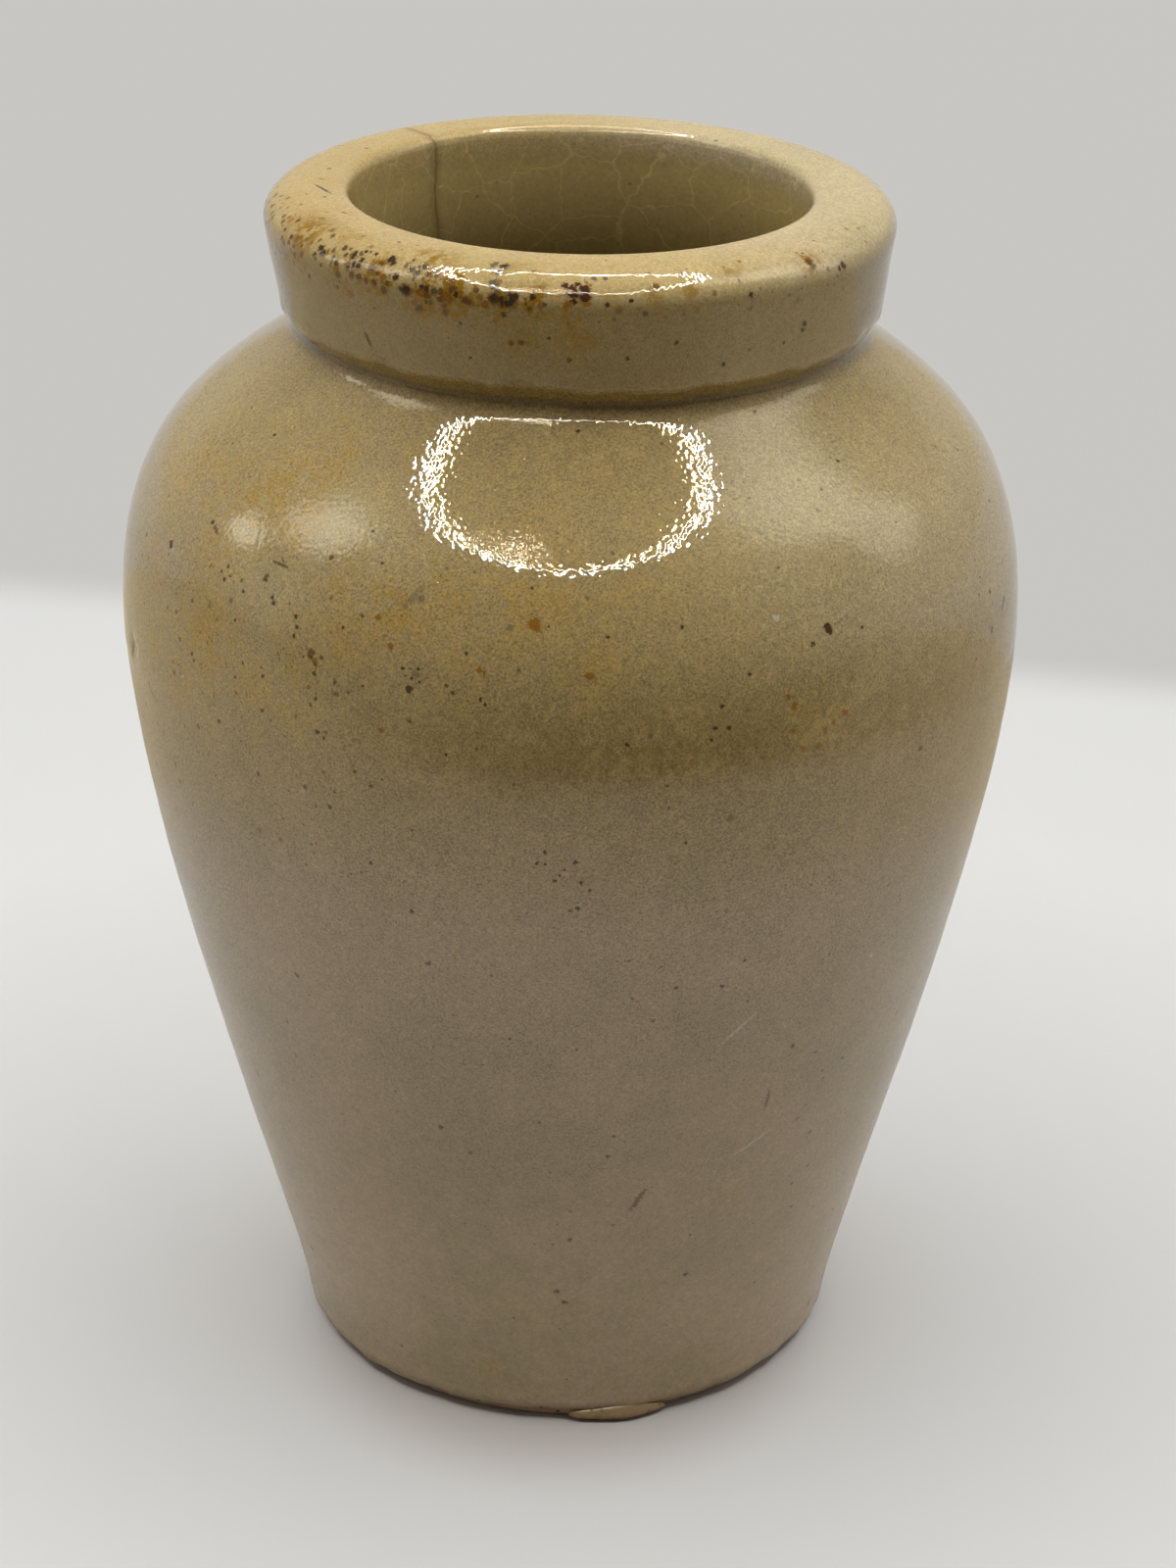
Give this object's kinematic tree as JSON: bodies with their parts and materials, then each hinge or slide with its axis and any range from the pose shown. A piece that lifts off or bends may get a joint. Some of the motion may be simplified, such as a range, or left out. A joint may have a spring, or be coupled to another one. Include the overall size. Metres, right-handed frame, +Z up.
{
  "type": "cream pot",
  "caption": "Small glazed stoneware cream pot with a wide belly, tapering side, heavy collar and open mouth, made to hold and pour cream.",
  "frame": {"origin": "centre of the flat foot, on the surface the pot stands on", "axes": "+Z up along the pot's axis towards the mouth, -Y towards the front, where the glaze drip is"},
  "size_m": [0.0744, 0.0744, 0.102],
  "materials": {
    "stoneware_clay": "matt fired clay, bare at the foot",
    "lower_glaze": "grey-cream speckled glaze with a soft gloss",
    "upper_glaze": "warm cream glossy glaze, stained ochre, with iron spots on the lip",
    "liner_glaze": "glossy olive-amber glaze with crazing",
    "drip_glaze": "glassy amber bead"
  },
  "bodies": {
    "root": {"stoneware_body": "stoneware_clay", "lower_glaze": "lower_glaze", "upper_glaze": "upper_glaze", "liner_glaze": "liner_glaze", "foot_glaze_drip": "drip_glaze"}
  },
  "joints": []
}
